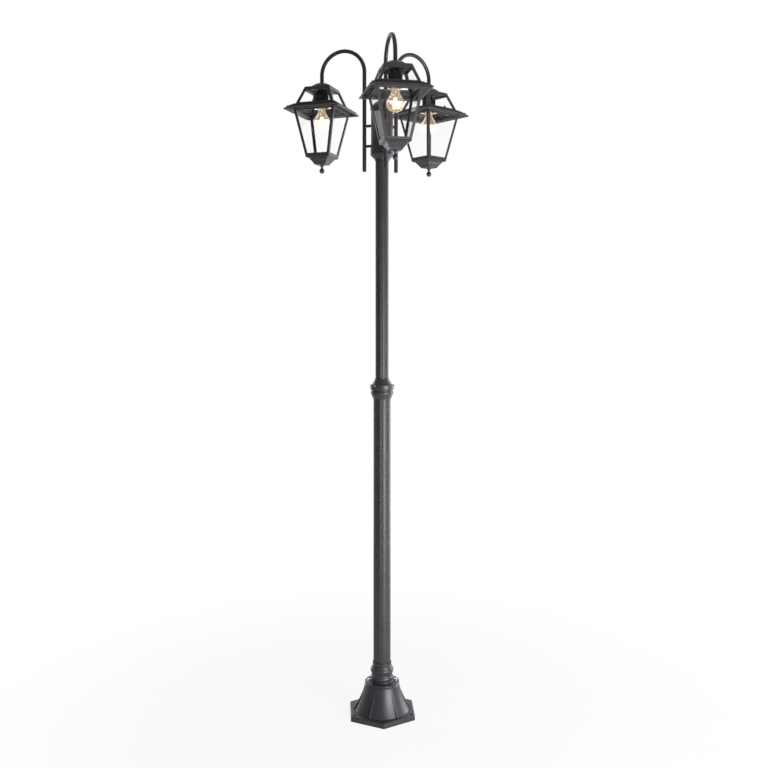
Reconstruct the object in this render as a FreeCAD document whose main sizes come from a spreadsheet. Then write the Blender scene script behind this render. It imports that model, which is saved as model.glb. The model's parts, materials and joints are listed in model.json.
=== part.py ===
import FreeCAD, Part
import math
import os
import Sketcher
from types import SimpleNamespace

# Triple head lamp post. The origin is on the ground at the post's axis, +Z is up, and the front arm
# reaches towards -Y. Lengths are millimetres and angles are degrees.

DOC = FreeCAD.newDocument("lamp_post")
SHEET_NAME = "Sizes"
UP = FreeCAD.Vector(0, 0, 1)

# The driving dimensions: name, value, what it is.
DRIVING = [
    ("plate_flats", 220, "base plate, across its flats"),
    ("plate_thick", 17, "base plate thickness"),
    ("plate_bevel", 2, "bevel round the plate's top edge"),
    ("plate_mouth_radius", 86, "opening under the bell"),
    ("base_turn", -8, "turn of the base from the front arm"),
    ("anchor_circle_radius", 113, "circle of the anchor holes"),
    ("anchor_hole_radius", 5.5, "anchor hole"),
    ("bell_height", 98, "bell, from the plate to the disc's top"),
    ("bell_foot_radius", 95, "bell where it meets the plate"),
    ("bell_disc_radius", 60, "disc on top of the bell"),
    ("bell_flare_radius", 280, "hollow curve of the bell's side"),
    ("bell_wall", 5, "bell wall"),
    ("rib_count", 6, "ribs round the bell"),
    ("rib_width", 6, "rib width"),
    ("rib_stand", 3.5, "how far a rib stands off the bell"),
    ("rib_height", 60, "rib height above the plate"),
    ("foot_bolt_radius", 3, "bolts through the disc"),
    ("foot_bolt_place", 47, "foot bolts from the post's axis"),
    ("foot_bolt_length", 16, "foot bolt under its head"),
    ("spigot_flange_radius", 54, "spigot flange under the disc"),
    ("spigot_flange_thick", 6, "spigot flange thickness"),
    ("spigot_height", 58, "spigot above the disc"),
    ("spigot_bore", 21, "way for the supply cable"),
    ("foot_collar_height", 67, "beaded socket on the disc"),
    ("foot_collar_wall", 9.5, "socket wall at its foot"),
    ("lower_tube_radius", 30, "lower tube"),
    ("lower_tube_length", 1015, "lower tube"),
    ("upper_tube_radius", 23, "upper tube"),
    ("upper_tube_length", 970, "upper tube"),
    ("upper_tube_insert", 150, "upper tube below the lower tube's top"),
    ("tube_wall", 2.5, "wall of both tubes"),
    ("flute_count", 12, "flutes round each tube"),
    ("flute_radius", 3.2, "flute's hollow"),
    ("flute_depth", 1.1, "flute depth"),
    ("guide_height", 20, "guide ring on the upper tube's foot"),
    ("collar_height", 73, "middle collar"),
    ("collar_overlap", 32, "middle collar over the lower tube"),
    ("collar_lip_radius", 41.7, "middle collar's lip"),
    ("head_collar_height", 42, "head collar"),
    ("head_overlap", 16, "head collar over the upper tube"),
    ("head_flange_radius", 41, "head collar's flange"),
    ("housing_radius", 38.5, "wiring housing"),
    ("housing_height", 154, "wiring housing"),
    ("housing_wall", 3, "wiring housing wall"),
    ("housing_seat", 14, "depth of the housing's seat in its collar"),
    ("cap_height", 34, "pointed cap above the housing"),
    ("cap_skirt", 6, "cap's skirt over the housing"),
    ("cap_wall", 2.5, "cap wall"),
    ("terminal_width", 30, "terminal block"),
    ("terminal_depth", 12, "terminal block"),
    ("terminal_height", 60, "terminal block"),
    ("arm_tube_radius", 7, "arm tube"),
    ("arm_tube_wall", 1.5, "arm tube wall"),
    ("arm_root", 65.5, "arm's post side from the post's axis"),
    ("arm_reach", 227.5, "lantern's axis from the post's axis"),
    ("arm_foot_drop", 61, "arm's foot below the housing's foot"),
    ("arm_rise", 287, "arm's bend above the housing's foot"),
    ("arm_end_drop", 26.7, "arm's lantern end below its bend"),
    ("plug_thick", 3, "plug under the arm's foot"),
    ("plug_spigot", 10, "plug inside the arm"),
    ("spacer_radius", 5, "sleeves between housing and arm"),
    ("spacer_bore", 3.2, "sleeve's bore"),
    ("arm_screw_radius", 3, "screws through the lower sleeves"),
    ("spacer_low", 25, "lower sleeves above the housing's foot"),
    ("spacer_high", 96, "upper sleeves above the housing's foot"),
    ("hanger_radius", 5, "hollow bolt that hangs a lantern"),
    ("hanger_bore", 3.5, "way for the lamp's wires"),
    ("hanger_engage", 24, "hanger inside the arm"),
    ("hanger_head_radius", 9, "hanger's hexagon, to its corners"),
    ("hanger_head_height", 7, "hanger's hexagon"),
    ("dome_radius", 42, "lantern's dome"),
    ("dome_height", 18, "lantern's dome above the crown"),
    ("dome_wall", 5, "dome wall"),
    ("crown_half", 46.5, "half the crown's side"),
    ("crown_skirt", 13, "crown above the roof windows"),
    ("roof_height", 63, "roof, from crown to eave"),
    ("roof_foot_half", 71, "half the roof's side at the eave"),
    ("roof_wall", 3.5, "roof wall"),
    ("hip_width", 11, "leg of a hip's angle"),
    ("eave_step_count", 3, "steps of the eave above its outer slope"),
    ("eave_tread", 8, "tread of an eave step"),
    ("eave_reach", 103, "half the eave's side"),
    ("eave_tread_drop", 1.5, "slope of a tread"),
    ("eave_riser", 3, "step between treads"),
    ("eave_slope_drop", 7, "fall of the outer slope"),
    ("eave_edge", 3.5, "eave's edge"),
    ("eave_wall", 3.5, "eave wall"),
    ("eave_ledge_half", 86, "half the ledge that sits on the cage"),
    ("eave_ledge_depth", 12, "ledge below the roof's foot"),
    ("eave_screw_place", 81, "cap nuts from the lantern's axis"),
    ("eave_stud_radius", 2, "studs of the cap nuts"),
    ("eave_nut_radius", 4, "cap nut"),
    ("eave_nut_height", 5, "cap nut"),
    ("roof_foot_rail", 4, "roof below its windows"),
    ("cage_top_half", 78, "half the cage's side at the top"),
    ("cage_foot_half", 45, "half the cage's side at the bottom"),
    ("cage_height", 169, "glass cage"),
    ("cage_wall", 2.5, "cage wall"),
    ("cage_flange_half", 84, "half the flange on top of the cage"),
    ("cage_flange_thick", 3, "cage flange"),
    ("post_width", 9.5, "leg of a corner post's angle"),
    ("cage_top_rail", 10, "top rail of the cage"),
    ("cage_foot_rail", 8, "bottom rail of the cage"),
    ("pane_thick", 2, "glass panes"),
    ("pane_lap", 4, "pane behind its frame"),
    ("bowl_height", 31, "stepped bowl"),
    ("bowl_foot_half", 12.5, "half the bowl's flat bottom"),
    ("bowl_wall", 3, "bowl wall"),
    ("finial_height", 30, "finial below the bowl"),
    ("finial_ball_radius", 9.3, "finial's ball"),
    ("finial_neck_radius", 4.2, "finial's neck"),
    ("holder_radius", 24, "lamp holder"),
    ("holder_height", 60, "lamp holder"),
    ("holder_drop", 27, "lamp holder below the dome's top"),
    ("holder_rib_count", 20, "grooves round the lamp holder"),
    ("holder_web", 5, "web across the lamp holder, above the contact shell"),
    ("shell_height", 26, "contact shell"),
    ("shell_wall", 0.9, "contact shell wall"),
    ("bulb_cap_radius", 13.1, "bulb's screw cap"),
    ("bulb_radius", 30, "bulb"),
    ("bulb_length", 106, "bulb, from contact to tip"),
    ("bulb_neck_radius", 13, "bulb's neck"),
    ("bulb_skin", 0.8, "bulb's glass"),
    ("filament_count", 4, "filaments in a bulb"),
    ("filament_length", 34, "filament"),
    ("filament_radius", 0.9, "filament"),
    ("filament_spread", 5, "filaments from the bulb's axis"),
    ("set_screw_radius", 2.5, "set screws"),
    ("set_screw_head", 4, "set screw's head"),
    ("running_fit", 0.06, "gap all round between pieces that turn or slide in each other"),
    ("free_gap", 0.3, "gap between pieces that move past each other"),
]

ARMS = {"front": -90, "right": 30, "left": 150}
SET_SCREW_TURNS = (-136, -16, 104)
FOOT_SCREW_TURNS = (50, 130)


class Size:
    """A size that knows its number and the sheet expression behind it."""

    def __init__(self, value, text):
        self.value = value
        self.text = text

    def __add__(self, other):
        return Size(self.value + number(other), f"({self.text} + {words(other)})")

    def __radd__(self, other):
        return Size(number(other) + self.value, f"({words(other)} + {self.text})")

    def __sub__(self, other):
        return Size(self.value - number(other), f"({self.text} - {words(other)})")

    def __rsub__(self, other):
        return Size(number(other) - self.value, f"({words(other)} - {self.text})")

    def __mul__(self, other):
        return Size(self.value * number(other), f"({self.text} * {words(other)})")

    def __rmul__(self, other):
        return self * other

    def __truediv__(self, other):
        return Size(self.value / number(other), f"({self.text} / {words(other)})")

    def __rtruediv__(self, other):
        return Size(number(other) / self.value, f"({words(other)} / {self.text})")

    def __neg__(self):
        return Size(-self.value, f"(0 - {self.text})")


def number(size):
    return size.value if isinstance(size, Size) else float(size)


def words(size):
    return size.text if isinstance(size, Size) else f"{float(size):.9f}"


def root(size):
    return Size(math.sqrt(size.value), f"sqrt({size.text})")


def cosine(degrees):
    return Size(math.cos(math.radians(number(degrees))), f"cos({words(degrees)})")


def sine(degrees):
    return Size(math.sin(math.radians(number(degrees))), f"sin({words(degrees)})")


def make_sheet():
    """The spreadsheet of driving dimensions; each comes back as a Size."""
    sheet = DOC.addObject("Spreadsheet::Sheet", SHEET_NAME)
    sizes = {}
    for row, (name, value, meaning) in enumerate(DRIVING, start=1):
        sheet.set(f"A{row}", name)
        sheet.set(f"B{row}", str(value))
        sheet.set(f"C{row}", meaning)
        sheet.setAlias(f"B{row}", name)
        sizes[name] = Size(float(value), f"{SHEET_NAME}.{name}")
    DOC.recompute()
    return SimpleNamespace(**sizes)


S = make_sheet()

# Levels above the ground.
DISC = S.plate_thick + S.bell_height
TUBE_FOOT = DISC + S.free_gap
TUBE_TOP = TUBE_FOOT + S.lower_tube_length
COLLAR_FOOT = TUBE_TOP - S.collar_overlap
UPPER_FOOT = TUBE_TOP - S.upper_tube_insert
UPPER_TOP = UPPER_FOOT + S.upper_tube_length
HEAD_FOOT = UPPER_TOP - S.head_overlap
HEAD_TOP = HEAD_FOOT + S.head_collar_height
HOUSING_FOOT = HEAD_TOP - S.housing_seat
HOUSING_TOP = HOUSING_FOOT + S.housing_height
ARM_FOOT = HOUSING_FOOT - S.arm_foot_drop
ARM_SPRING = HOUSING_FOOT + S.arm_rise
ARM_END = ARM_SPRING - S.arm_end_drop
HANG = ARM_END - S.free_gap

# Levels of a lantern, below the top of its dome.
CROWN = -S.dome_height
SKIRT = CROWN - S.crown_skirt
EAVE = CROWN - S.roof_height
EAVE_FOOT = EAVE - S.eave_step_count * (S.eave_tread_drop + S.eave_riser) - S.eave_slope_drop - S.eave_edge
CAGE_TOP = EAVE - S.eave_ledge_depth
CAGE_SHOULDER = CAGE_TOP - S.cage_flange_thick
CAGE_FOOT = CAGE_TOP - S.cage_height
BOWL_FOOT = CAGE_FOOT - S.bowl_height
HOLDER_FOOT = -S.holder_drop - S.holder_height


# ---- building blocks -------------------------------------------------------------------------------

def bind(item, values):
    """Tie an object's properties to the sheet."""
    for name, size in values.items():
        item.setExpression(name, words(size))


def turned_by(azimuth):
    return FreeCAD.Placement(FreeCAD.Vector(), FreeCAD.Rotation(UP, azimuth))


def cylinder(radius, low, high, x=0, y=0):
    """An upright round bar between two levels."""
    item = DOC.addObject("Part::Cylinder", "round")
    bind(item, {"Radius": radius, "Height": high - low, "Placement.Base.z": low})
    bind(item, {"Placement.Base.x": x, "Placement.Base.y": y})
    return item


def spoke(radius, start, end, level, azimuth):
    """A round bar that runs straight out from the axis, from one radius to another."""
    item = DOC.addObject("Part::Cylinder", "spoke")
    lie_down = FreeCAD.Rotation(FreeCAD.Vector(0, 1, 0), 90)
    item.Placement = FreeCAD.Placement(FreeCAD.Vector(), FreeCAD.Rotation(UP, azimuth) * lie_down)
    bind(item, {"Radius": radius, "Height": end - start, "Placement.Base.z": level})
    bind(item, {"Placement.Base.x": start * cosine(azimuth), "Placement.Base.y": start * sine(azimuth)})
    return item


def hexagon(corner_radius, low, high, x=0, y=0):
    """An upright hexagonal bar between two levels."""
    item = DOC.addObject("Part::Prism", "hexagon")
    item.Polygon = 6
    bind(item, {"Circumradius": corner_radius, "Height": high - low, "Placement.Base.z": low})
    bind(item, {"Placement.Base.x": x, "Placement.Base.y": y})
    return item


def tapered(low, low_half, high, high_half, low_depth=None, high_depth=None, azimuth=0):
    """A four-sided block between two levels, square in plan unless a depth is given."""
    item = DOC.addObject("Part::Wedge", "tapered")
    low_depth = low_half if low_depth is None else low_depth
    high_depth = high_half if high_depth is None else high_depth
    stand_up = FreeCAD.Rotation(FreeCAD.Vector(1, 0, 0), 90)
    item.Placement = FreeCAD.Placement(FreeCAD.Vector(), FreeCAD.Rotation(UP, azimuth) * stand_up)
    bind(item, {"Xmin": -low_half, "Xmax": low_half, "Zmin": -low_depth, "Zmax": low_depth})
    bind(item, {"X2min": -high_half, "X2max": high_half, "Z2min": -high_depth, "Z2max": high_depth})
    bind(item, {"Ymin": low, "Ymax": high})
    return item


def fuse(name, pieces):
    item = DOC.addObject("Part::MultiFuse", name)
    item.Shapes = pieces
    item.Refine = True
    return item


def cut(name, base, tools):
    item = DOC.addObject("Part::Cut", name)
    item.Base = base
    item.Tool = tools[0] if len(tools) == 1 else fuse(name + "_tools", tools)
    item.Refine = True
    return item


def common(name, pieces):
    item = DOC.addObject("Part::MultiCommon", name)
    item.Shapes = pieces
    item.Refine = True
    return item


def origin_part(body, role):
    return next(f for f in body.Origin.OriginFeatures if f.Role == role)


def new_sketch(body, role, name):
    sketch = body.newObject("Sketcher::SketchObject", name)
    sketch.AttachmentSupport = (origin_part(body, role), "")
    sketch.MapMode = "FlatFace"
    return sketch


def arc_between(start, end, radius, turn):
    """The short arc from start to end, to the left for a turn of 1 and to the right for -1."""
    chord = end - start
    half = chord.Length / 2
    reach = math.sqrt(max(radius**2 - half**2, 0))
    side = FreeCAD.Vector(-chord.y, chord.x, 0).normalize() * reach * turn
    centre = (start + end) / 2 + side
    first, last = (start, end) if turn > 0 else (end, start)
    first_angle = math.atan2(first.y - centre.y, first.x - centre.x)
    last_angle = math.atan2(last.y - centre.y, last.x - centre.x)
    return Part.ArcOfCircle(Part.Circle(centre, UP, radius), first_angle, last_angle)


def pin_point(sketch, edge, end, corner):
    """Hold one end of an edge at its sizes, measured from the sketch's origin."""
    for kind, axis, size in (("DistanceX", -2, corner[0]), ("DistanceY", -1, corner[1])):
        if not isinstance(size, Size) and size == 0:
            sketch.addConstraint(Sketcher.Constraint("PointOnObject", edge, end, axis))
            continue
        index = sketch.addConstraint(Sketcher.Constraint(kind, -1, 1, edge, end, number(size)))
        sketch.setExpression(f"Constraints[{index}]", words(size))


def outline(body, role, name, corners):
    """A closed outline. A corner is (x, y), or (x, y, radius, turn) where an arc leads to it."""
    sketch = new_sketch(body, role, name)
    points = [FreeCAD.Vector(number(c[0]), number(c[1]), 0) for c in corners]
    ends = []
    for index, corner in enumerate(corners):
        start, end = points[index - 1], points[index]
        if len(corner) == 4:
            sketch.addGeometry(arc_between(start, end, number(corner[2]), corner[3]))
            ends.append((1, 2) if corner[3] > 0 else (2, 1))
        else:
            sketch.addGeometry(Part.LineSegment(start, end))
            ends.append((1, 2))
    count = len(corners)
    for index in range(count):
        following = (index + 1) % count
        joint = Sketcher.Constraint("Coincident", index, ends[index][1], following, ends[following][0])
        sketch.addConstraint(joint)
    for index, corner in enumerate(corners):
        pin_point(sketch, index, ends[index][1], corner)
        if len(corner) == 4:
            radius = sketch.addConstraint(Sketcher.Constraint("Radius", index, number(corner[2])))
            sketch.setExpression(f"Constraints[{radius}]", words(corner[2]))
    return sketch


def circles(body, role, name, rounds):
    """Circles in one sketch, each (radius, x, y)."""
    sketch = new_sketch(body, role, name)
    for index, (radius, x, y) in enumerate(rounds):
        centre = FreeCAD.Vector(number(x), number(y), 0)
        sketch.addGeometry(Part.Circle(centre, UP, number(radius)))
        if x is y:
            sketch.addConstraint(Sketcher.Constraint("Coincident", index, 3, -1, 1))
        else:
            pin_point(sketch, index, 3, (x, y))
        rule = sketch.addConstraint(Sketcher.Constraint("Radius", index, number(radius)))
        sketch.setExpression(f"Constraints[{rule}]", words(radius))
    return sketch


def new_body(name):
    body = DOC.addObject("PartDesign::Body", name)
    body.Label = name
    return body


def revolve(body, corners, cutting=False):
    """Turn an outline of (radius, level) corners about the body's axis, to add or to cut."""
    kind = "Groove" if cutting else "Revolution"
    name = f"{body.Name}_{kind.lower()}"
    sketch = outline(body, "XZ_Plane", name + "_outline", corners)
    feature = body.newObject(f"PartDesign::{kind}", name)
    feature.Profile = sketch
    feature.ReferenceAxis = (sketch, ["V_Axis"])
    feature.Angle = 360
    body.Tip = feature
    return feature


def revolved(name, corners):
    body = new_body(name)
    revolve(body, corners)
    return body


def pad(body, sketch, length, both_ways=False):
    feature = body.newObject("PartDesign::Pad", sketch.Name + "_pad")
    feature.Profile = sketch
    feature.setExpression("Length", words(length))
    feature.Midplane = both_ways
    body.Tip = feature
    return feature


def pocket_up(body, sketch, depth):
    """Cut a sketch on the ground plane upwards."""
    feature = body.newObject("PartDesign::Pocket", sketch.Name + "_pocket")
    feature.Profile = sketch
    feature.Reversed = True
    feature.setExpression("Length", words(depth))
    body.Tip = feature
    return feature


def repeat_round(body, feature, count):
    """Repeat a feature round the upright axis."""
    pattern = body.newObject("PartDesign::PolarPattern", feature.Name + "_round")
    pattern.Originals = [feature]
    pattern.Axis = (origin_part(body, "Z_Axis"), [""])
    pattern.Angle = 360
    if isinstance(count, Size):
        pattern.setExpression("Occurrences", words(count))
    else:
        pattern.Occurrences = count
    body.Tip = pattern
    return pattern


def moulding(core, stand, height, steps):
    """Outer corners of a moulding: each step is a share of its stand and height, with an arc's share."""
    corners = []
    for step in steps:
        corner = (core + stand * step[0], height * step[1])
        corners.append(corner if len(step) == 2 else corner + (height * step[2], step[3]))
    return corners


def move_to(item, level, azimuth=0, reach=None):
    """Put a finished piece at its level, turned about the post's axis, or out on an arm."""
    item.Placement = turned_by(azimuth)
    bind(item, {"Placement.Base.z": level})
    if reach is not None:
        bind(item, {"Placement.Base.x": reach * cosine(azimuth), "Placement.Base.y": reach * sine(azimuth)})
    return item


# ---- the base --------------------------------------------------------------------------------------

def base_casting():
    """Hexagonal plate and hollow ribbed bell, one casting; a corner of the plate points to -Y."""
    body = new_body("base_casting")
    corner_radius = S.plate_flats / (2 * cosine(30))
    corners = [(corner_radius * cosine(a), corner_radius * sine(a)) for a in range(-90, 270, 60)]
    plate = pad(body, outline(body, "XY_Plane", "plate", corners), S.plate_thick)
    DOC.recompute()
    rim = []
    for index, edge in enumerate(plate.Shape.Edges, start=1):
        if abs(edge.BoundBox.ZMin - number(S.plate_thick)) < 0.001:
            rim.append(f"Edge{index}")
    bevel = body.newObject("PartDesign::Chamfer", "plate_rim")
    bevel.Base = (plate, rim)
    bevel.setExpression("Size", words(S.plate_bevel))
    body.Tip = bevel
    disc = S.bell_disc_radius
    groove = S.bell_height * 0.075
    revolve(body, [
        (0, S.plate_thick / 2),
        (S.bell_foot_radius, S.plate_thick / 2),
        (S.bell_foot_radius, S.plate_thick),
        (disc, DISC - groove - S.bell_height * 0.03, S.bell_flare_radius, -1),
        (disc * 0.955, DISC - groove),
        (disc * 0.955, DISC - groove * 0.8),
        (disc, DISC - groove * 0.65),
        (disc, DISC - groove * 0.4),
        (disc * 0.955, DISC, disc * 0.06, 1),
        (0, DISC),
    ])
    rib_foot = S.bell_foot_radius + S.rib_stand
    rib_top = S.plate_thick + S.rib_height
    rib_sketch = outline(body, "XZ_Plane", "rib", [
        (S.bell_foot_radius - S.bell_wall, S.plate_thick / 2),
        (rib_foot, S.plate_thick / 2),
        (rib_foot, S.plate_thick + S.rib_stand),
        (disc * 1.14, rib_top, S.bell_flare_radius, -1),
        (disc * 1.14 - S.bell_wall, rib_top),
    ])
    rib = pad(body, rib_sketch, S.rib_width, both_ways=True)
    repeat_round(body, rib, S.rib_count)
    wall = S.bell_wall
    ceiling = DISC - wall
    revolve(body, [
        (0, 0),
        (S.plate_mouth_radius, 0),
        (S.plate_mouth_radius, S.plate_thick),
        (disc - wall, ceiling - wall, S.bell_flare_radius, -1),
        (disc - wall, ceiling),
        (0, ceiling),
    ], cutting=True)
    spigot_hole = circles(body, "XY_Plane", "spigot_hole", [(spigot_radius() + S.free_gap, 0, 0)])
    pocket_up(body, spigot_hole, DISC)
    bolt_hole = circles(body, "XY_Plane", "bolt_hole", [(S.foot_bolt_radius + S.free_gap, S.foot_bolt_place, 0)])
    repeat_round(body, pocket_up(body, bolt_hole, DISC), 2)
    anchor_hole = circles(body, "XY_Plane", "anchor_hole", [(S.anchor_hole_radius, 0, S.anchor_circle_radius)])
    repeat_round(body, pocket_up(body, anchor_hole, DISC), 3)
    return turn_base(body)


def turn_base(item):
    """Turn a piece of the base with the base's own turn."""
    item.setExpression("Placement.Rotation.Angle", words(S.base_turn))
    return item


def spigot_radius():
    """The spigot turns inside the lower tube."""
    return S.lower_tube_radius - S.tube_wall - S.running_fit


def foot_spigot():
    """Flange under the disc with the spigot that the lower tube stands round."""
    ceiling = DISC - S.bell_wall
    flange_foot = ceiling - S.spigot_flange_thick
    body = revolved("foot_spigot", [
        (S.spigot_bore, flange_foot),
        (S.spigot_flange_radius, flange_foot),
        (S.spigot_flange_radius, ceiling),
        (spigot_radius(), ceiling),
        (spigot_radius(), DISC + S.spigot_height),
        (S.spigot_bore, DISC + S.spigot_height),
    ])
    hole = circles(body, "XY_Plane", "spigot_bolt", [(S.foot_bolt_radius, S.foot_bolt_place, 0)])
    repeat_round(body, pocket_up(body, hole, DISC), 2)
    return turn_base(body)


def foot_bolts():
    """Two bright hexagon bolts through the disc into the spigot's flange."""
    pieces = []
    for side in (1, -1):
        place = side * S.foot_bolt_place
        head = hexagon(S.foot_bolt_radius * 1.9, DISC, DISC + S.foot_bolt_radius * 1.35, x=place)
        shank = cylinder(S.foot_bolt_radius, DISC - S.foot_bolt_length, DISC, x=place)
        pieces += [head, shank]
    return turn_base(fuse("foot_bolts", pieces))


def foot_collar():
    """Beaded socket that stands on the disc round the lower tube."""
    bore = S.lower_tube_radius + S.running_fit
    height = S.foot_collar_height
    steps = [
        (0.9, 0), (0.9, 0.05), (0.78, 0.07), (0.78, 0.1), (0.84, 0.12), (0.84, 0.27, 0.13, 1),
        (0.7, 0.3), (0.64, 0.36), (0.7, 0.43), (0.78, 0.45), (0.86, 0.5), (0.86, 0.68, 0.15, 1),
        (0.7, 0.7), (0.66, 0.73), (0.28, 0.84), (0.14, 0.85), (0.14, 0.87), (0.27, 0.89), (0.27, 1),
    ]
    outer = moulding(bore, S.foot_collar_wall, height, steps)
    body = revolved("foot_collar", [(bore, 0)] + outer + [(bore, height)])
    screw_level = height * 0.57
    for azimuth in FOOT_SCREW_TURNS:
        side_hole(body, S.set_screw_radius, screw_level, azimuth)
    return move_to(body, DISC)


def side_hole(body, radius, level, azimuth):
    """A hole through one side of a round piece, at a level above the body's foot."""
    name = f"{body.Name}_hole_{azimuth}".replace("-", "m")
    sketch = new_sketch(body, "YZ_Plane", name)
    turn = FreeCAD.Rotation(FreeCAD.Vector(0, 1, 0), azimuth)
    sketch.AttachmentOffset = FreeCAD.Placement(FreeCAD.Vector(), turn)
    sketch.addGeometry(Part.Circle(FreeCAD.Vector(0, number(level), 0), UP, number(radius)))
    pin_point(sketch, 0, 3, (0, level))
    rule = sketch.addConstraint(Sketcher.Constraint("Radius", 0, number(radius)))
    sketch.setExpression(f"Constraints[{rule}]", words(radius))
    feature = body.newObject("PartDesign::Pocket", name + "_pocket")
    feature.Profile = sketch
    feature.Reversed = True
    feature.Type = "ThroughAll"
    body.Tip = feature
    return feature


def set_screws(name, turns, outside, inside, level):
    """Screws that point at the post's axis, with round heads outside."""
    pieces = []
    for azimuth in turns:
        shank = spoke(S.set_screw_radius, inside, outside, level, azimuth)
        head = spoke(S.set_screw_head, outside, outside + S.set_screw_radius, level, azimuth)
        pieces += [shank, head]
    return fuse(name, pieces)


def foot_set_screws():
    outside = S.lower_tube_radius + S.running_fit + S.foot_collar_wall * 1.09
    inside = S.lower_tube_radius + S.free_gap
    level = DISC + S.foot_collar_height * 0.57
    return set_screws("foot_set_screws", FOOT_SCREW_TURNS, outside, inside, level)


def collar_screw_rise():
    """The collar's set screws above the collar's foot, just under the lip's edge."""
    return S.collar_height * 0.675


def collar_set_screws():
    inside = S.upper_tube_radius + S.free_gap
    level = COLLAR_FOOT + collar_screw_rise()
    return set_screws("collar_set_screws", SET_SCREW_TURNS, S.collar_lip_radius, inside, level)


def fluted_tube(name, radius, length, foot):
    """Round tube with shallow flutes; a land between flutes faces every arm."""
    body = new_body(name)
    ring = circles(body, "XY_Plane", name + "_ring", [(radius, 0, 0), (radius - S.tube_wall, 0, 0)])
    pad(body, ring, length)
    place = radius + S.flute_radius - S.flute_depth
    phase = 180 / S.flute_count - 90
    flute = circles(body, "XY_Plane", name + "_flute",
                    [(S.flute_radius, place * cosine(phase), place * sine(phase))])
    repeat_round(body, pocket_up(body, flute, length), S.flute_count)
    return move_to(body, foot)


def lower_tube():
    return fluted_tube("lower_tube", S.lower_tube_radius, S.lower_tube_length, TUBE_FOOT)


def upper_tube():
    return fluted_tube("upper_tube", S.upper_tube_radius, S.upper_tube_length, UPPER_FOOT)


def tube_guide_ring():
    """Ring on the upper tube's foot that slides in the lower tube."""
    outer = S.lower_tube_radius - S.tube_wall - S.running_fit
    body = revolved("tube_guide_ring", [
        (S.upper_tube_radius, 0),
        (outer, 0),
        (outer, S.guide_height),
        (S.upper_tube_radius, S.guide_height),
    ])
    return move_to(body, UPPER_FOOT)


def mid_collar():
    """Reducing collar: its lower half caps the lower tube and the upper tube slides in its neck."""
    height = S.collar_height
    stand = S.collar_lip_radius - S.lower_tube_radius
    steps = [
        (0.085, 0), (0.085, 0.02), (0.7, 0.25), (0.72, 0.4, 0.16, 1), (0.62, 0.41), (0.62, 0.45),
        (0.88, 0.47), (1, 0.52), (1, 0.69), (0.96, 0.71), (0.43, 0.71), (-0.3, 0.93), (-0.42, 1),
    ]
    outer = moulding(S.lower_tube_radius, stand, height, steps)
    neck = S.upper_tube_radius + S.running_fit
    inner = [
        (neck, height),
        (neck, S.collar_overlap),
        (S.lower_tube_radius, S.collar_overlap),
        (S.lower_tube_radius, 0),
    ]
    body = revolved("mid_collar", outer + inner)
    for azimuth in SET_SCREW_TURNS:
        side_hole(body, S.set_screw_radius, collar_screw_rise(), azimuth)
    return move_to(body, COLLAR_FOOT)


# ---- the head --------------------------------------------------------------------------------------

def head_collar():
    """Flanged casting on the upper tube; the wiring housing stands in its cup."""
    height = S.head_collar_height
    stand = S.head_flange_radius - S.housing_radius
    steps = [
        (-4.8, 0), (-4.8, 0.08), (0.8, 0.44), (1, 0.46), (1, 0.56), (0.3, 0.6), (0.3, 0.65),
        (0.6, 0.67), (0.6, 0.8, 0.13, 1), (0.3, 0.82), (0.3, 0.85), (0.6, 0.86), (0.6, 0.99, 0.13, 1),
        (0.4, 1),
    ]
    outer = moulding(S.housing_radius, stand, height, steps)
    cup_floor = height - S.housing_seat
    throat = S.upper_tube_radius - S.tube_wall
    inner = [
        (S.housing_radius, height),
        (S.housing_radius, cup_floor),
        (throat, cup_floor),
        (throat, S.head_overlap),
        (S.upper_tube_radius, S.head_overlap),
        (S.upper_tube_radius, 0),
    ]
    return move_to(revolved("head_collar", outer + inner), HEAD_FOOT)


def spacer_levels():
    return HOUSING_FOOT + S.spacer_low, HOUSING_FOOT + S.spacer_high


def head_housing():
    """Round wiring housing, drilled for the two sleeves of each arm."""
    tube = cut("housing_tube", cylinder(S.housing_radius, HOUSING_FOOT, HOUSING_TOP),
               [cylinder(S.housing_radius - S.housing_wall, HOUSING_FOOT, HOUSING_TOP)])
    holes = []
    for azimuth in ARMS.values():
        for level in spacer_levels():
            holes.append(spoke(S.spacer_bore, S.housing_radius / 2, S.arm_root, level, azimuth))
    return cut("head_housing", tube, holes)


def head_cap():
    """Pointed cap over the housing."""
    seat = S.housing_radius
    rim = seat + S.cap_wall
    inside = seat - S.cap_wall
    peak = S.cap_height
    body = revolved("head_cap", [
        (seat, -S.cap_skirt),
        (rim, -S.cap_skirt),
        (rim, 0),
        (rim * 0.16, peak * 0.86, rim * 1.6, 1),
        (rim * 0.03, peak, peak * 0.3, 1),
        (0, peak),
        (0, peak - S.cap_wall * 1.6),
        (rim * 0.03, peak - S.cap_wall * 1.6),
        (inside, 0, rim * 1.6, -1),
        (seat, 0),
    ])
    return move_to(body, HOUSING_TOP)


def terminal_block():
    """Block on the cup's floor that joins the supply to the three lamps."""
    low = HOUSING_FOOT
    high = low + S.terminal_height
    half_width = S.terminal_width / 2
    inside = S.housing_radius - S.housing_wall
    back = root(inside * inside - half_width * half_width) - S.free_gap
    block = tapered(low, half_width, high, half_width, S.terminal_depth / 2, S.terminal_depth / 2)
    bind(block, {"Placement.Base.y": back - S.terminal_depth / 2})
    holes = []
    for column in (-1, 0, 1):
        hole = cylinder(S.terminal_depth / 5, high - S.terminal_height / 4, high)
        bind(hole, {"Placement.Base.x": column * S.terminal_width / 3})
        bind(hole, {"Placement.Base.y": back - S.terminal_depth / 2})
        holes.append(hole)
    return cut("terminal_block", block, holes)


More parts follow.
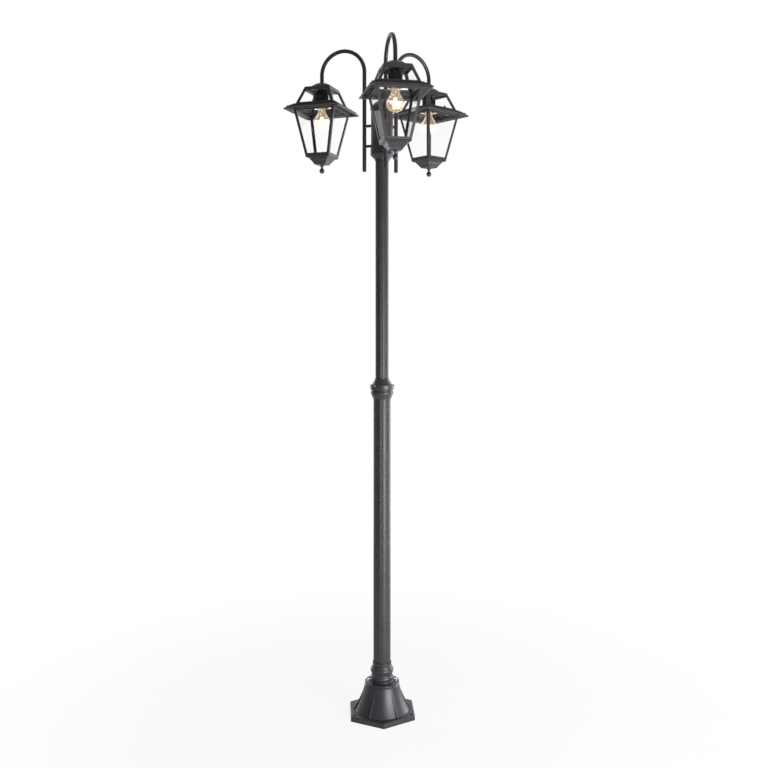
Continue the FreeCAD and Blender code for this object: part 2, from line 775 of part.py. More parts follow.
def arm_tube(name, azimuth):
    """Bent tube from its foot beside the housing, over the bend and down to the lantern."""
    body = new_body(name + "_tube")
    bend = (S.arm_reach - S.arm_root) / 2
    path = new_sketch(body, "XZ_Plane", name + "_path")
    low, spring, end = (FreeCAD.Vector(number(x), number(y), 0) for x, y in (
        (S.arm_root, ARM_FOOT), (S.arm_root, ARM_SPRING), (S.arm_reach, ARM_END)))
    over = FreeCAD.Vector(number(S.arm_reach), number(ARM_SPRING), 0)
    centre = (spring + over) / 2
    path.addGeometry(Part.LineSegment(low, spring))
    path.addGeometry(Part.ArcOfCircle(Part.Circle(centre, UP, number(bend)), 0, math.pi))
    path.addGeometry(Part.LineSegment(over, end))
    path.addConstraint(Sketcher.Constraint("Coincident", 0, 2, 1, 2))
    path.addConstraint(Sketcher.Constraint("Coincident", 1, 1, 2, 1))
    pin_point(path, 0, 1, (S.arm_root, ARM_FOOT))
    pin_point(path, 0, 2, (S.arm_root, ARM_SPRING))
    pin_point(path, 1, 1, (S.arm_reach, ARM_SPRING))
    pin_point(path, 2, 2, (S.arm_reach, ARM_END))
    level = path.addConstraint(Sketcher.Constraint("DistanceY", -1, 1, 1, 3, number(ARM_SPRING)))
    path.setExpression(f"Constraints[{level}]", words(ARM_SPRING))
    inner = S.arm_tube_radius - S.arm_tube_wall
    section = circles(body, "XY_Plane", name + "_section",
                      [(S.arm_tube_radius, S.arm_root, 0), (inner, S.arm_root, 0)])
    section.setExpression("AttachmentOffset.Base.z", words(ARM_FOOT))
    DOC.recompute()
    pipe = body.newObject("PartDesign::AdditivePipe", name + "_pipe")
    pipe.Profile = section
    pipe.Spine = (path, ["Edge1", "Edge2", "Edge3"])
    body.Tip = pipe
    low_level, high_level = spacer_levels()
    start = S.arm_root - S.arm_tube_radius * 2
    holes = [spoke(S.arm_screw_radius, start, S.arm_root, low_level, 0),
             spoke(S.spacer_bore, start, S.arm_root, high_level, 0)]
    piece = cut(name, body, holes)
    piece.Placement = turned_by(azimuth)
    return piece


def arm_plugs():
    """Plugs in the feet of the three arms."""
    pieces = []
    for azimuth in ARMS.values():
        place = {"x": S.arm_root * cosine(azimuth), "y": S.arm_root * sine(azimuth)}
        pieces.append(cylinder(S.arm_tube_radius, ARM_FOOT - S.plug_thick, ARM_FOOT, **place))
        inner = S.arm_tube_radius - S.arm_tube_wall
        pieces.append(cylinder(inner, ARM_FOOT, ARM_FOOT + S.plug_spigot, **place))
    return fuse("arm_plugs", pieces)


def arm_end_fittings():
    """Threaded bushes in the lantern ends of the three arms."""
    pieces = []
    bores = []
    for azimuth in ARMS.values():
        place = {"x": S.arm_reach * cosine(azimuth), "y": S.arm_reach * sine(azimuth)}
        outer = S.arm_tube_radius - S.arm_tube_wall
        pieces.append(cylinder(outer, ARM_END, ARM_END + S.hanger_engage, **place))
        bore = S.hanger_radius + S.running_fit
        bores.append(cylinder(bore, ARM_END, ARM_END + S.hanger_engage, **place))
    return cut("arm_end_fittings", fuse("bushes", pieces), bores)


def arm_spacers():
    """Two hollow sleeves between the housing and each arm, shaped to both round walls."""
    sleeves = []
    tools = [cylinder(S.housing_radius, HOUSING_FOOT, HOUSING_TOP)]
    for azimuth in ARMS.values():
        place = {"x": S.arm_root * cosine(azimuth), "y": S.arm_root * sine(azimuth)}
        tools.append(cylinder(S.arm_tube_radius, HOUSING_FOOT, HOUSING_TOP, **place))
        for level in spacer_levels():
            start = S.housing_radius - S.housing_wall
            sleeves.append(spoke(S.spacer_radius, start, S.arm_root, level, azimuth))
            tools.append(spoke(S.spacer_bore, start, S.arm_root, level, azimuth))
    return cut("arm_spacers", fuse("sleeves", sleeves), tools)


def arm_screws():
    """Screws from inside the housing through the lower sleeves into the arms."""
    level = spacer_levels()[0]
    head_radius = S.arm_screw_radius * 1.6
    inside = S.housing_radius - S.housing_wall
    seat = root(inside * inside - head_radius * head_radius)
    pieces = []
    for azimuth in ARMS.values():
        pieces.append(spoke(head_radius, seat - S.arm_screw_radius, seat, level, azimuth))
        pieces.append(spoke(S.arm_screw_radius, seat, S.arm_root, level, azimuth))
    return fuse("arm_screws", pieces)


# ---- a lantern: levels are counted from the top of its dome, +X points away from the post -----------

def hang_on(item, azimuth):
    return move_to(item, HANG, azimuth, S.arm_reach)


def eave_tiers(inset, drop):
    """The stepped eave's outline as stacked tiers, smaller by an inset and lower by a drop."""
    level = EAVE - drop
    half = S.roof_foot_half
    tiers = []
    for _ in range(int(number(S.eave_step_count))):
        wider = half + S.eave_tread
        tiers.append(tapered(level - S.eave_tread_drop, wider - inset, level, half - inset))
        level = level - S.eave_tread_drop
        tiers.append(tapered(level - S.eave_riser, wider - inset, level, wider - inset))
        level = level - S.eave_riser
        half = wider
    edge_half = S.eave_reach - inset
    tiers.append(tapered(level - S.eave_slope_drop, edge_half, level, half - inset))
    level = level - S.eave_slope_drop
    tiers.append(tapered(level - S.eave_edge, edge_half, level, edge_half))
    return tiers


def roof_half(level):
    """Half the roof's side at a level between crown and eave."""
    slope = (S.roof_foot_half - S.crown_half) / S.roof_height
    return S.crown_half + slope * (CROWN - level)


def cage_half(level):
    """Half the cage's side at a level between its shoulder and its foot."""
    slope = (S.cage_top_half - S.cage_foot_half) / (CAGE_SHOULDER - CAGE_FOOT)
    return S.cage_foot_half + slope * (level - CAGE_FOOT)


def windows(low, high, half_at, margin, reach):
    """Four-sided tapered openings through both pairs of walls, a margin in from the corners."""
    return [
        tapered(low, half_at(low) - margin, high, half_at(high) - margin, reach, reach, azimuth)
        for azimuth in (0, 90)
    ]


def roof_window_levels():
    return EAVE + S.roof_foot_rail, SKIRT


def cage_window_levels():
    return CAGE_FOOT + S.cage_foot_rail, CAGE_SHOULDER - S.cage_top_rail


def eave_nut_seat():
    """Level that the cap nuts sit on."""
    return EAVE - S.eave_wall


def roof(name, azimuth):
    """Crown with its low dome, four hips and the stepped eave, one hollow casting."""
    dome = revolved(name + "_dome", [
        (0, CROWN - S.dome_wall),
        (S.dome_radius, CROWN - S.dome_wall),
        (S.dome_radius, CROWN),
        (S.arm_tube_radius * 1.2, 0, S.dome_radius, 1),
        (0, 0),
    ])
    inner_dome = revolved(name + "_dome_hollow", [
        (0, CROWN - S.dome_wall),
        (S.dome_radius - S.dome_wall, CROWN - S.dome_wall),
        (S.dome_radius - S.dome_wall, CROWN - S.dome_wall / 2),
        (S.hanger_head_radius * 1.1, -S.dome_wall, S.dome_radius - S.dome_wall, 1),
        (0, -S.dome_wall),
    ])
    wall = S.roof_wall
    ceiling = CROWN - S.dome_wall
    outer = [dome, tapered(EAVE, S.roof_foot_half, CROWN, S.crown_half)] + eave_tiers(0, 0)
    bosses = []
    screw_holes = []
    for side in (1, -1):
        y = side * S.eave_screw_place
        bosses.append(cylinder(S.eave_nut_radius + 2 * S.free_gap, CAGE_TOP, eave_nut_seat(), y=y))
        screw_holes.append(cylinder(S.eave_stud_radius, CAGE_TOP, EAVE, y=y))
        screw_holes.append(cylinder(S.eave_nut_radius + S.free_gap, eave_nut_seat(), EAVE + wall, y=y))
    solid = fuse(name + "_solid", outer + bosses)
    low, high = roof_window_levels()
    attic = tapered(EAVE, S.roof_foot_half - wall, ceiling, roof_half(ceiling) - wall)
    mouth_half = S.roof_foot_half - wall
    mouth = tapered(EAVE_FOOT, mouth_half, EAVE, mouth_half)
    ledge = tapered(CAGE_TOP, S.eave_ledge_half, EAVE + wall, S.eave_ledge_half)
    hollow = cut(name + "_eave_hollow", fuse(name + "_eave_inside", eave_tiers(wall, wall)), [ledge])
    under_ledge = tapered(EAVE_FOOT, S.eave_ledge_half, CAGE_TOP, S.eave_ledge_half)
    hole = cylinder(S.hanger_radius, CROWN, S.free_gap)
    tools = [inner_dome, attic, mouth, hollow, under_ledge, hole] + screw_holes
    tools += windows(low, high, roof_half, S.hip_width, S.eave_reach)
    return hang_on(cut(name, solid, tools), azimuth)


def glazing(name, low, high, half_at, wall, corner):
    """Four flat panes behind the windows of a four-sided frame."""
    lap = S.pane_lap
    outer = tapered(low - lap, half_at(low - lap) - wall, high + lap, half_at(high + lap) - wall)
    thick = wall + S.pane_thick
    inner = tapered(low - lap, half_at(low - lap) - thick, high + lap, half_at(high + lap) - thick)
    skin = cut(name + "_skin", outer, [inner])
    openings = windows(low - lap, high + lap, half_at, corner - lap, S.eave_reach)
    return common(name, [skin, fuse(name + "_faces", openings)])


def roof_panes(name, azimuth):
    low, high = roof_window_levels()
    low = low + S.pane_lap / 4
    high = high - S.pane_lap / 2
    return hang_on(glazing(name, low, high, roof_half, S.roof_wall, S.hip_width), azimuth)


def side_panes(name, azimuth):
    low, high = cage_window_levels()
    return hang_on(glazing(name, low, high, cage_half, S.cage_wall, S.post_width), azimuth)


def hanger_bolt(name, azimuth):
    """Hollow hexagon bolt: up through the dome into the arm, and down into the lamp holder."""
    head_top = -S.dome_wall
    head_foot = head_top - S.hanger_head_height
    stub_foot = -S.holder_drop - S.hanger_head_height
    pieces = [
        cylinder(S.hanger_radius, stub_foot, S.free_gap + S.hanger_engage),
        hexagon(S.hanger_head_radius, head_foot, head_top),
    ]
    bore = cylinder(S.hanger_bore, stub_foot, S.free_gap + S.hanger_engage)
    return hang_on(cut(name, fuse(name + "_solid", pieces), [bore]), azimuth)


def shell_radius():
    return S.bulb_cap_radius + S.free_gap + S.shell_wall


def lamp_holder(name, azimuth):
    """Grooved holder body with the contact shell's seat below and the hanger's socket above."""
    height = S.holder_height
    roomy = shell_radius() * 0.62
    seat = S.shell_height
    socket = height - S.hanger_head_height
    body = revolved(name, [
        (shell_radius(), 0),
        (S.holder_radius, 0),
        (S.holder_radius, height * 0.72),
        (S.holder_radius * 0.86, height * 0.78),
        (S.holder_radius * 0.86, height * 0.93),
        (S.holder_radius * 0.7, height),
        (S.hanger_radius, height),
        (S.hanger_radius, socket),
        (roomy, socket),
        (roomy, seat + S.holder_web),
        (S.hanger_bore, seat + S.holder_web),
        (S.hanger_bore, seat),
        (shell_radius(), seat),
    ])
    groove_radius = S.holder_radius * 0.08
    groove = circles(body, "XY_Plane", name + "_groove", [(groove_radius, S.holder_radius, 0)])
    repeat_round(body, pocket_up(body, groove, height * 0.66), S.holder_rib_count)
    return place_on_axis(body, azimuth, HOLDER_FOOT)


def place_on_axis(body, azimuth, level):
    """Put a piece that has its own foot at zero on a lantern's axis."""
    return move_to(body, HANG + level, azimuth, S.arm_reach)


def holder_shell(name, azimuth):
    """Threaded contact shell, closed at its top."""
    outer = shell_radius()
    inner = outer - S.shell_wall
    top = S.shell_height
    body = revolved(name, [
        (inner, 0),
        (outer, 0),
        (outer, top),
        (0, top),
        (0, top - S.shell_wall),
        (inner, top - S.shell_wall),
    ])
    return place_on_axis(body, azimuth, HOLDER_FOOT)


def bulb_cap_height():
    return S.shell_height - S.shell_wall - S.free_gap


def bulb_cap(name, azimuth):
    """Screw cap with a round thread and a raised contact."""
    height = bulb_cap_height()
    crest = S.bulb_cap_radius
    valley = crest * 0.93
    turns = 5
    pitch = height * 0.7 / turns
    corners = [(0, 0), (valley, 0)]
    for turn in range(turns):
        corners.append((crest, pitch * (turn + 0.5)))
        corners.append((valley, pitch * (turn + 1)))
    corners += [(crest * 0.7, height * 0.86), (crest * 0.36, height * 0.94), (crest * 0.3, height), (0, height)]
    return place_on_axis(revolved(name, corners), azimuth, HOLDER_FOOT)


def bulb_glass(name, azimuth):
    """Clear envelope with the stem that carries the filaments."""
    radius = S.bulb_radius
    skin = S.bulb_skin
    neck = S.bulb_neck_radius
    centre = radius - (S.bulb_length - bulb_cap_height())
    flare = 40
    shoulder = (radius * cosine(flare), centre + radius * sine(flare))
    inner_radius = radius - skin
    inner_shoulder = (inner_radius * cosine(flare), centre + inner_radius * sine(flare))
    stem_radius = neck * 0.17
    stem_foot = -S.bulb_length * 0.36
    body = revolved(name, [
        (0, 0),
        (neck, 0),
        (neck, -neck * 0.7),
        (*shoulder, radius * 1.4, 1),
        (0, centre - radius, radius, -1),
        (0, centre - inner_radius),
        (*inner_shoulder, inner_radius, 1),
        (neck - skin, -neck * 0.7, radius * 1.4 + skin, -1),
        (neck - skin, -skin),
        (neck * 0.5, -skin),
        (stem_radius, -neck, neck * 1.6, 1),
        (stem_radius, stem_foot),
        (0, stem_foot),
    ])
    return place_on_axis(body, azimuth, HOLDER_FOOT)


def bulb_filaments(name, azimuth):
    """Upright filaments between an upper ring on the stem and a lower spider."""
    stem_radius = S.bulb_neck_radius * 0.17
    high = -S.bulb_length * 0.33
    low = high - S.filament_length
    plate = S.filament_radius
    outer = S.filament_spread + S.filament_radius * 1.8
    ring = cut(name + "_ring", cylinder(outer, high, high + plate), [cylinder(stem_radius, high, high + plate)])
    pieces = [ring, cylinder(outer, low - plate, low)]
    step = 360 / S.filament_count
    for index in range(int(number(S.filament_count))):
        x = S.filament_spread * cosine(step * index)
        y = S.filament_spread * sine(step * index)
        pieces.append(cylinder(S.filament_radius, low, high, x=x, y=y))
    return place_on_axis(fuse(name, pieces), azimuth, HOLDER_FOOT)


def cage(name, azimuth):
    """Four corner angles with top and bottom rails and the flange under the eave."""
    wall = S.cage_wall
    walls = tapered(CAGE_FOOT, S.cage_foot_half, CAGE_SHOULDER, S.cage_top_half)
    flange = tapered(CAGE_SHOULDER, S.cage_flange_half, CAGE_TOP, S.cage_flange_half)
    inside = tapered(CAGE_FOOT, S.cage_foot_half - wall, CAGE_SHOULDER, S.cage_top_half - wall)
    mouth_half = S.cage_top_half - wall
    mouth = tapered(CAGE_SHOULDER, mouth_half, CAGE_TOP, mouth_half)
    low, high = cage_window_levels()
    tools = [inside, mouth] + windows(low, high, cage_half, S.post_width, S.eave_reach)
    for side in (1, -1):
        tools.append(cylinder(S.eave_stud_radius, CAGE_SHOULDER, CAGE_TOP, y=side * S.eave_screw_place))
    return hang_on(cut(name, fuse(name + "_solid", [walls, flange]), tools), azimuth)


def bowl(name, azimuth):
    """Stepped tray under the glass: a lip, then tiers that draw in to a flat foot."""
    top, foot = S.cage_foot_half, S.bowl_foot_half
    height = S.bowl_height
    steps = [
        (1, 0), (1, 0.14), (0.92, 0.16), (0.92, 0.2), (0.66, 0.28), (0.66, 0.33), (0.44, 0.62),
        (0.44, 0.68), (0.38, 0.7), (0.27, 0.88), (0.27, 0.93), (0, 1),
    ]
    tiers = []
    for (share, fall), (next_share, next_fall) in zip(steps, steps[1:]):
        high_half = foot + (top - foot) * share
        low_half = foot + (top - foot) * next_share
        tiers.append(tapered(CAGE_FOOT - height * next_fall, low_half, CAGE_FOOT - height * fall, high_half))
    wall = S.bowl_wall
    waist = CAGE_FOOT - height * 0.33
    waist_half = foot + (top - foot) * 0.66 - wall
    tray = tapered(waist, waist_half, CAGE_FOOT, top - wall * 2)
    well = tapered(BOWL_FOOT + wall, foot + (top - foot) * 0.27 - wall, waist, waist_half)
    stud_hole = cylinder(S.finial_neck_radius * 0.7, BOWL_FOOT, CAGE_FOOT)
    return hang_on(cut(name, fuse(name + "_solid", tiers), [tray, well, stud_hole]), azimuth)


def finial(name, azimuth):
    """Ball drop with a stud up through the bowl."""
    ball = S.finial_ball_radius
    neck = S.finial_neck_radius
    stud = neck * 0.7
    foot = -S.finial_height
    centre = foot + ball
    join = 60
    body = revolved(name, [
        (0, S.bowl_wall * 2),
        (0, foot),
        (ball * cosine(join), centre + ball * sine(join), ball, 1),
        (neck, centre + ball * 1.2),
        (neck * 1.1, -S.finial_height * 0.22),
        (ball * 0.9, -S.finial_height * 0.04, ball * 1.2, -1),
        (ball * 0.9, 0),
        (stud, 0),
        (stud, S.bowl_wall * 2),
    ])
    return place_on_axis(body, azimuth, BOWL_FOOT)


def eave_screws(name, azimuth):
    """Two cap nuts on studs that hold the cage under the eave."""
    pieces = []
    for side in (1, -1):
        y = side * S.eave_screw_place
        seat = eave_nut_seat()
        pieces.append(cylinder(S.eave_stud_radius, CAGE_SHOULDER - S.eave_nut_height, seat, y=y))
        pieces.append(cylinder(S.eave_nut_radius, seat, seat + S.eave_nut_height, y=y))
        foot = CAGE_SHOULDER - S.eave_stud_radius
        pieces.append(cylinder(S.eave_nut_radius * 0.7, foot, CAGE_SHOULDER, y=y))
    return hang_on(fuse(name, pieces), azimuth)


LANTERN_PIECES = {
    "roof": roof,
    "roof_panes": roof_panes,
    "hanger_bolt": hanger_bolt,
    "lamp_holder": lamp_holder,
    "holder_shell": holder_shell,
    "bulb_cap": bulb_cap,
    "bulb_glass": bulb_glass,
    "bulb_filaments": bulb_filaments,
    "cage": cage,
    "side_panes": side_panes,
    "bowl": bowl,
    "finial": finial,
    "eave_screws": eave_screws,
}

POST_PIECES = [
    base_casting, foot_spigot, foot_bolts, foot_collar, foot_set_screws, lower_tube, mid_collar,
    collar_set_screws, upper_tube, tube_guide_ring, head_collar, head_housing, head_cap,
    terminal_block, arm_spacers, arm_screws, arm_plugs, arm_end_fittings,
]


def build():
    pieces = [make() for make in POST_PIECES]
    for side, azimuth in ARMS.items():
        pieces.append(arm_tube(f"arm_{side}", azimuth))
        for name, make in LANTERN_PIECES.items():
            pieces.append(make(f"{name}_{side}", azimuth))
    DOC.recompute()
    return pieces


def check(pieces):
    """Stop if anything in the document failed, before a single file is written."""
    for item in DOC.Objects:
        if "Invalid" in item.State or "Error" in item.State:
            raise RuntimeError(f"{item.Label} did not build")
    for piece in pieces:
        if piece.Shape.isNull() or not piece.Shape.isValid() or not piece.Shape.Solids:
            raise RuntimeError(f"{piece.Label} has no sound solid")


def export(pieces):
    os.makedirs("parts", exist_ok=True)
    for piece in pieces:
        piece.Shape.exportStep(os.path.join("parts", piece.Label + ".step"))
        print(f"{piece.Label}: {len(piece.Shape.Solids)} solid(s), {piece.Shape.Volume:.0f} mm3")


PIECES = build()
check(PIECES)
export(PIECES)
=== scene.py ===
import json
import math

import bpy
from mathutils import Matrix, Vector


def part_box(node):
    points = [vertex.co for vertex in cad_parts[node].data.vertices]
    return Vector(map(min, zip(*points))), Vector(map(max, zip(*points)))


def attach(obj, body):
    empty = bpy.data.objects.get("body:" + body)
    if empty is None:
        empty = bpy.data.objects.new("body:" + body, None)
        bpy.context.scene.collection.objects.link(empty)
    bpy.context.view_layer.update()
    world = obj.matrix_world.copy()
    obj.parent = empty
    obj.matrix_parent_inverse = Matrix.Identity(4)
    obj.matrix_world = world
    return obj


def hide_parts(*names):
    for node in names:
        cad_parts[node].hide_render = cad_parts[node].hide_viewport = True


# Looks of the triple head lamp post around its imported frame. Lengths are metres, angles degrees.

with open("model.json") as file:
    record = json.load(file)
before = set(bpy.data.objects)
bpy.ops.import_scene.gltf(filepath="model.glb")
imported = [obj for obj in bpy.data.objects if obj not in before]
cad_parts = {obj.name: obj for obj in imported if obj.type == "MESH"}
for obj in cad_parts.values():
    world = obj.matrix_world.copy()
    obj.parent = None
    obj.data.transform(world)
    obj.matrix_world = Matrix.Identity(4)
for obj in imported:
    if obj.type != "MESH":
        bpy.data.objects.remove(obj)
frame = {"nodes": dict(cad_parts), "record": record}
bpy.ops.object.select_all(action="DESELECT")
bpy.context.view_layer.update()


def polar(radius, turn, height):
    """A place round the upright axis; the turn is in radians from the x axis."""
    return Vector((radius * math.cos(turn), radius * math.sin(turn), height))


# ---- node trees --------------------------------------------------------------------------------

WHITE = (1, 1, 1)
# Most greys of a noise lie in this span.
MIDDLE = (0.3, 0.7)
NOISE_ROUGHNESS = 0.55
BEVEL_SAMPLES = 6


class Tree:
    """A node tree, with calls that add nodes to it."""

    def __init__(self, owner):
        owner.use_nodes = True
        self.nodes = owner.node_tree.nodes
        self.links = owner.node_tree.links

    def feed(self, socket, value):
        """Link a socket to another one, or set it to a constant."""
        if isinstance(value, bpy.types.NodeSocket):
            self.links.new(value, socket)
        elif socket.type == "RGBA":
            socket.default_value = (*value, 1)
        else:
            socket.default_value = value

    def add(self, kind, feeds=None, **settings):
        """A new node with its settings; feeds maps its sockets to what goes into them."""
        node = self.nodes.new("ShaderNode" + kind)
        for name, value in settings.items():
            setattr(node, name, value)
        for socket, value in (feeds or {}).items():
            self.feed(node.inputs[socket], value)
        return node

    def math(self, operation, first, second, clamp=False):
        """The result of one sum on two grey values."""
        node = self.add("Math", {0: first, 1: second}, operation=operation, use_clamp=clamp)
        return node.outputs[0]

    def places(self, stretch=(1, 1, 1)):
        """Object coordinates, stretched if asked."""
        where = self.add("TexCoord").outputs["Object"]
        return self.add("Mapping", {"Vector": where, "Scale": stretch}).outputs["Vector"]

    def grain(self, vector, scale, detail=3.0):
        """A grey noise."""
        noise = self.add("TexNoise", {"Vector": vector, "Scale": scale, "Detail": detail,
                                      "Roughness": NOISE_ROUGHNESS})
        return noise.outputs["Fac"]

    def spread(self, grey, span=MIDDLE, to=(0, 1), **settings):
        """Stretch a grey value from one span to another."""
        reach = self.add("MapRange", {"Value": grey, "From Min": span[0], "From Max": span[1],
                                      "To Min": to[0], "To Max": to[1]}, **settings)
        return reach.outputs["Result"]

    def tint(self, grey, first, second):
        """A colour between two, by a grey value; either may be a socket."""
        mix = self.add("Mix", {"Factor": grey, "A": first, "B": second}, data_type="RGBA")
        return mix.outputs["Result"]

    def soft_edges(self, radius):
        """The surface's normal with its sharp edges rounded."""
        return self.add("Bevel", {"Radius": radius}, samples=BEVEL_SAMPLES).outputs["Normal"]

    def bump(self, height, strength, depth, under=None):
        """A normal roughened by a grey height, over another normal if one is given."""
        feeds = {"Height": height, "Strength": strength, "Distance": depth}
        if under is not None:
            feeds["Normal"] = under
        return self.add("Bump", feeds).outputs["Normal"]

    def surface(self, output, share, first, second):
        """Send two shaders to an output, mixed by the share of the second."""
        mix = self.add("MixShader", {0: share, 1: first.outputs[0], 2: second.outputs[0]})
        self.feed(output.inputs["Surface"], mix.outputs[0])


# ---- camera, room and lamps --------------------------------------------------------------------

EYE = Vector((-0.614, -3.161, 1.404))
AHEAD = Vector((-EYE.x, -EYE.y, 0))
# The lens and the sensor's width, in millimetres.
LENS = 43.1
SENSOR = 36.0
# The photo's width, and the row of its horizon and the column of its post, in pixels.
PICTURE = 768
HORIZON_ROW = 312
POST_COLUMN = 382

AMBIENT = 0.13
AMBIENT_COLOUR = (0.98, 0.99, 1.0)
# Share of the room's white in mirrors, on the camera's side and behind the post, and the cosines
# of the angle from straight ahead between which the one turns into the other.
ROOM_MIRRORED = (0.24, 1.0)
ROOM_TURNS = (-0.1, 0.75)

FLOOR_RADIUS = 2.2
FLOOR_SIDES = 96
FLOOR_DROP = 0.0005
FLOOR_GREY = (0.82, 0.82, 0.82)
# Share of the floor's white in mirrors.
FLOOR_MIRRORED = 0.6
# Share of the white in the floor, at the post and far from it, and the shares of the floor's
# radius between which it rises.
FLOOR_WHITE = (0.9, 1.0)
FLOOR_FADE = (0.12, 0.8)


def stand(data, place, direction):
    """Stand a camera or a lamp at a place, looking in a direction."""
    thing = bpy.data.objects.new(data.name, data)
    bpy.context.scene.collection.objects.link(thing)
    thing.location = place
    thing.rotation_euler = direction.to_track_quat("-Z", "Y").to_euler()
    return thing


def place_camera():
    """Level camera at eye height; its shift puts the horizon and the post as in the photo."""
    data = bpy.data.cameras.new("camera")
    data.lens = LENS
    data.sensor_width = SENSOR
    data.shift_y = (HORIZON_ROW - PICTURE / 2) / PICTURE
    data.shift_x = (PICTURE / 2 - POST_COLUMN) / PICTURE
    bpy.context.scene.camera = stand(data, EYE, AHEAD)


def soft_light(name, azimuth, distance, height, aim, width, tall, watts):
    """A lamp panel round the post; azimuth 0 is the camera's side and 90 its right."""
    data = bpy.data.lights.new(name, "AREA")
    data.shape = "RECTANGLE"
    data.size = width
    data.size_y = tall
    data.energy = watts
    place = polar(distance, math.atan2(EYE.y, EYE.x) + math.radians(azimuth), height)
    stand(data, place, Vector((0, 0, aim)) - place)


def light_room():
    """The key and side lamps on the right, with weak ones above and at the back left."""
    soft_light("key_right", azimuth=42, distance=2.5, height=0.68, aim=0.75,
               width=1.7, tall=1.5, watts=90)
    soft_light("side_right", azimuth=122, distance=2.6, height=1.1, aim=1.0,
               width=1.1, tall=2.6, watts=46)
    soft_light("top", azimuth=50, distance=1.2, height=4.4, aim=1.0,
               width=1.6, tall=1.6, watts=6)
    soft_light("back_left", azimuth=-140, distance=3.0, height=1.2, aim=1.0,
               width=0.9, tall=2.6, watts=20)


def toward_the_back(tree):
    """The room's whiteness in mirrors: full behind the post, low on the camera's side."""
    where = tree.add("TexCoord").outputs["Generated"]
    along = tree.add("VectorMath", {0: where, 1: AHEAD.normalized()}, operation="DOT_PRODUCT")
    return tree.spread(along.outputs["Value"], ROOM_TURNS, ROOM_MIRRORED)


def seen_white(tree, share):
    """How white a ray finds the surroundings: fully from the eye or glass, a share in mirrors."""
    path = tree.add("LightPath").outputs
    mirrored = tree.math("MULTIPLY", path["Is Glossy Ray"], share)
    straight = tree.math("ADD", path["Is Camera Ray"], path["Is Transmission Ray"], clamp=True)
    return tree.math("ADD", straight, mirrored, clamp=True)


def white_room():
    """White to the eye and through glass, less so in mirrors, and a soft light for the rest."""
    world = bpy.data.worlds.new("room")
    tree = Tree(world)
    tree.nodes.clear()
    dim = tree.add("Background", {"Color": AMBIENT_COLOUR, "Strength": AMBIENT})
    white = tree.add("Background", {"Color": WHITE, "Strength": 1.0})
    tree.surface(tree.add("OutputWorld"), seen_white(tree, toward_the_back(tree)), dim, white)
    bpy.context.scene.world = world


def lay_floor():
    """Pale floor that keeps the shadow near the post and fades to the white of the room."""
    bpy.ops.mesh.primitive_circle_add(vertices=FLOOR_SIDES, radius=FLOOR_RADIUS,
                                      fill_type="NGON", location=(0, 0, -FLOOR_DROP))
    floor = bpy.context.object
    floor.name = "floor"
    mat = bpy.data.materials.new("floor_pale")
    tree = Tree(mat)
    tree.nodes.clear()
    where = tree.add("TexCoord").outputs["Object"]
    far = tree.add("VectorMath", {0: where}, operation="LENGTH").outputs["Value"]
    fade = tree.spread(far, [part * FLOOR_RADIUS for part in FLOOR_FADE], FLOOR_WHITE,
                       interpolation_type="SMOOTHERSTEP")
    share = tree.math("MULTIPLY", seen_white(tree, FLOOR_MIRRORED), fade)
    matt = tree.add("BsdfDiffuse", {"Color": FLOOR_GREY})
    white = tree.add("Emission", {"Color": WHITE, "Strength": 1.0})
    tree.surface(tree.add("OutputMaterial"), share, matt, white)
    floor.data.materials.append(mat)


# ---- finishes ----------------------------------------------------------------------------------

COAT_DARK = (0.0268, 0.0232, 0.0300)
COAT_PALE = (0.0370, 0.0322, 0.0412)
COAT_SPECK = (0.085, 0.078, 0.090)
CAST_DARK = (0.44, 0.44, 0.45)
CAST_PALE = (0.58, 0.58, 0.57)
FILAMENT_DEEP = (1.0, 0.56, 0.18)
FILAMENT_PALE = (1.0, 0.68, 0.30)
# Painted glow: the bulb glass's own emission colour, standing for the filaments' light in the
# glass.
PAINTED_BULB_GLOW = (1.0, 0.76, 0.42)


class Finish(Tree):
    """A material round one main shader."""

    def __init__(self, name):
        self.material = bpy.data.materials.new(name)
        super().__init__(self.material)
        self.shader = self.nodes["Principled BSDF"]

    def set(self, **values):
        """Feed the main shader's sockets; an underscore stands for a space in their names."""
        for name, value in values.items():
            self.feed(self.shader.inputs[name.replace("_", " ")], value)


def about(value, share):
    """The span from a share below a value to the same share above it."""
    return value * (1 - share), value * (1 + share)


def powder_coat(name, cast):
    """Anthracite powder coat with orange peel, pale specks and soft edges, uneven on a casting."""
    coat = Finish(name)
    where = coat.places()
    cloud = coat.grain(where, scale=14.0, detail=4.0)
    speck = coat.grain(where, scale=2600.0, detail=1.0)
    tone = coat.tint(coat.spread(cloud), COAT_DARK, COAT_PALE)
    tone = coat.tint(coat.spread(speck, span=(0.62, 0.74), to=(0, 0.2)), tone, COAT_SPECK)
    normal = coat.soft_edges(radius=0.0012)
    if cast:
        swell = coat.grain(where, scale=60.0)
        normal = coat.bump(swell, strength=0.16, depth=0.0012, under=normal)
    peel = coat.grain(where, scale=900.0, detail=2.0)
    coat.set(Base_Color=tone, Roughness=coat.spread(cloud, to=(0.33, 0.41)), IOR=1.5,
             Specular_IOR_Level=0.5,
             Normal=coat.bump(peel, strength=0.13, depth=0.0002, under=normal))
    return coat


def plated(name, first, second, rough, scratch):
    """Plated or turned metal; scratch is how far its fine marks are drawn out sideways."""
    metal = Finish(name)
    mark = metal.grain(metal.places((1, 1, scratch)), scale=700.0)
    cloud = metal.grain(metal.places(), scale=160.0)
    metal.set(Base_Color=metal.tint(metal.spread(cloud, span=(0.35, 0.7)), first, second),
              Roughness=metal.spread(mark, to=about(rough, 0.25)), Metallic=1.0,
              Normal=metal.bump(mark, strength=0.2, depth=0.0001))
    return metal


